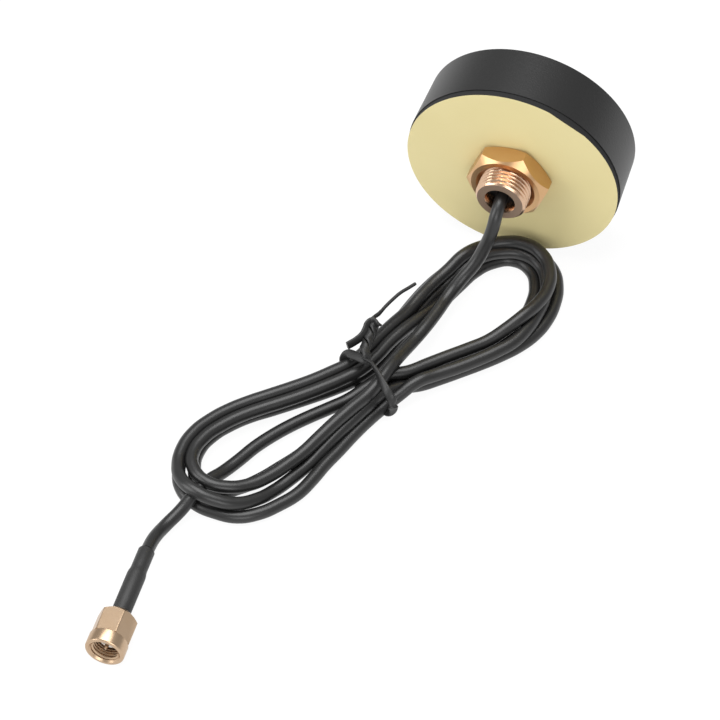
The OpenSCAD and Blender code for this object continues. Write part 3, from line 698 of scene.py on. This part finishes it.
carve(coupling, hollow, "DIFFERENCE")


def thread_ridge(name, outline, start, pitch, turns, steps=96):
    """A helical ridge: the outline of (radius, height) is swept up the Z axis by the pitch each turn."""
    clear_selection()
    bpy.ops.mesh.primitive_circle_add(vertices=len(outline), radius=1, fill_type="NGON")
    piece = bpy.context.object
    piece.name = name
    for vertex, (radius, height) in zip(piece.data.vertices, outline):
        vertex.co = (radius * MM, 0, (start + height) * MM)
    sweep = piece.modifiers.new("sweep", "SCREW")
    sweep.axis = "Z"
    sweep.angle = math.tau
    sweep.screw_offset = pitch * MM
    sweep.iterations = turns
    sweep.steps = sweep.render_steps = steps
    sweep.use_normal_calculate = True
    bpy.ops.object.modifier_apply(modifier=sweep.name)
    bpy.ops.object.mode_set(mode="EDIT")
    bpy.ops.mesh.select_all(action="SELECT")
    bpy.ops.mesh.remove_doubles(threshold=1e-6)
    bpy.ops.mesh.select_all(action="DESELECT")
    bpy.ops.mesh.select_non_manifold()
    bpy.ops.mesh.fill()
    bpy.ops.mesh.select_all(action="SELECT")
    bpy.ops.mesh.normals_make_consistent(inside=False)
    bpy.ops.object.mode_set(mode="OBJECT")
    return piece


inner_thread = thread_ridge(
    "coupling_thread",
    [(BORE_R + 0.15, -0.34), (BORE_R - 0.36, -0.05), (BORE_R - 0.36, 0.05), (BORE_R + 0.15, 0.34)],
    0.75,
    0.706,
    5,
    steps=64,
)
only(coupling)
inner_thread.select_set(True)
bpy.ops.object.join()
settle(coupling, ON_PLUG @ Matrix.Rotation(math.radians(COUPLING_TURN), 4, "Z"))
coupling.data.materials.clear()
coupling.data.materials.append(gold)
smooth_by_angle(coupling, 20)
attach(coupling, "plug_nut")
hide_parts("coupling_nut")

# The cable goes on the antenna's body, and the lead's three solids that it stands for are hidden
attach(cable, BODY)
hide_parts("cord_lead_in", "cord_hank", "cord_lead_out")

# Floor and light
# White paper under and behind the antenna. It is seen white by the camera and in the metal,
# and keeps only a faint shadow; large soft lamps stand above, to the left and behind.
clear_selection()
bpy.ops.mesh.primitive_plane_add(size=6, location=(0, 0, -0.0001))
floor = bpy.context.object
floor.name = "paper_floor"
bpy.ops.object.transform_apply(location=True, rotation=True, scale=True)
paper = bpy.data.materials.new("white_paper")
paper.use_nodes = True
paper_tree = paper.node_tree
paper_tree.nodes.clear()
plain = add(paper_tree, "ShaderNodeBsdfDiffuse", {"Color": (0.75, 0.75, 0.75, 1)})
faint = add(paper_tree, "ShaderNodeBsdfDiffuse", {"Color": (0.1, 0.1, 0.1, 1)})
glow = add(paper_tree, "ShaderNodeEmission", {"Color": (1, 1, 1, 1), "Strength": 0.93})
seen_white = add(paper_tree, "ShaderNodeAddShader")
paper_tree.links.new(faint.outputs[0], seen_white.inputs[0])
paper_tree.links.new(glow.outputs[0], seen_white.inputs[1])
ray = add(paper_tree, "ShaderNodeLightPath")
seen = add(paper_tree, "ShaderNodeMath", {"operation": "MAXIMUM"})
paper_tree.links.new(ray.outputs["Is Camera Ray"], seen.inputs[0])
paper_tree.links.new(ray.outputs["Is Glossy Ray"], seen.inputs[1])
seen_all = add(paper_tree, "ShaderNodeMath", {"operation": "MAXIMUM"})
paper_tree.links.new(seen.outputs[0], seen_all.inputs[0])
paper_tree.links.new(ray.outputs["Is Transmission Ray"], seen_all.inputs[1])
paper_mix = add(paper_tree, "ShaderNodeMixShader")
paper_tree.links.new(seen_all.outputs[0], paper_mix.inputs[0])
paper_tree.links.new(plain.outputs[0], paper_mix.inputs[1])
paper_tree.links.new(seen_white.outputs[0], paper_mix.inputs[2])
paper_out = add(paper_tree, "ShaderNodeOutputMaterial")
paper_tree.links.new(paper_mix.outputs[0], paper_out.inputs["Surface"])
floor.data.materials.append(paper)


def lamp(name, place, aim, size, power, colour=(1, 1, 1)):
    """A square soft lamp at a place, turned to its aim, both in metres."""
    data = bpy.data.lights.new(name, "AREA")
    data.shape = "RECTANGLE"
    data.size, data.size_y = size
    data.energy = power
    data.color = colour
    made = bpy.data.objects.new(name, data)
    made.location = place
    made.rotation_euler = (Vector(aim) - Vector(place)).to_track_quat("-Z", "Y").to_euler()
    bpy.context.scene.collection.objects.link(made)


CENTRE = (-0.01, -0.05, 0.01)
lamp("top_softbox", (-0.1, 0.05, 0.75), CENTRE, (0.6, 0.6), 5.0)
lamp("left_softbox", (-0.7, -0.5, 0.45), CENTRE, (0.5, 0.7), 4.0)
lamp("front_fill", (0.35, -0.9, 0.5), CENTRE, (0.6, 0.5), 3.0)

world = bpy.data.worlds.new("white_room")
bpy.context.scene.world = world
world.use_nodes = True
world_tree = world.node_tree
world_tree.nodes.clear()
dim = add(world_tree, "ShaderNodeBackground", {"Color": (1, 1, 1, 1), "Strength": 0.45})
bright = add(world_tree, "ShaderNodeBackground", {"Color": (1, 1, 1, 1), "Strength": 1.0})
world_ray = add(world_tree, "ShaderNodeLightPath")
world_seen = add(world_tree, "ShaderNodeMath", {"operation": "MAXIMUM"})
world_tree.links.new(world_ray.outputs["Is Camera Ray"], world_seen.inputs[0])
world_tree.links.new(world_ray.outputs["Is Transmission Ray"], world_seen.inputs[1])
world_mix = add(world_tree, "ShaderNodeMixShader")
world_tree.links.new(world_seen.outputs[0], world_mix.inputs[0])
world_tree.links.new(dim.outputs[0], world_mix.inputs[1])
world_tree.links.new(bright.outputs[0], world_mix.inputs[2])
world_out = add(world_tree, "ShaderNodeOutputWorld")
world_tree.links.new(world_mix.outputs[0], world_out.inputs["Surface"])
bpy.context.scene.view_settings.view_transform = "Standard"
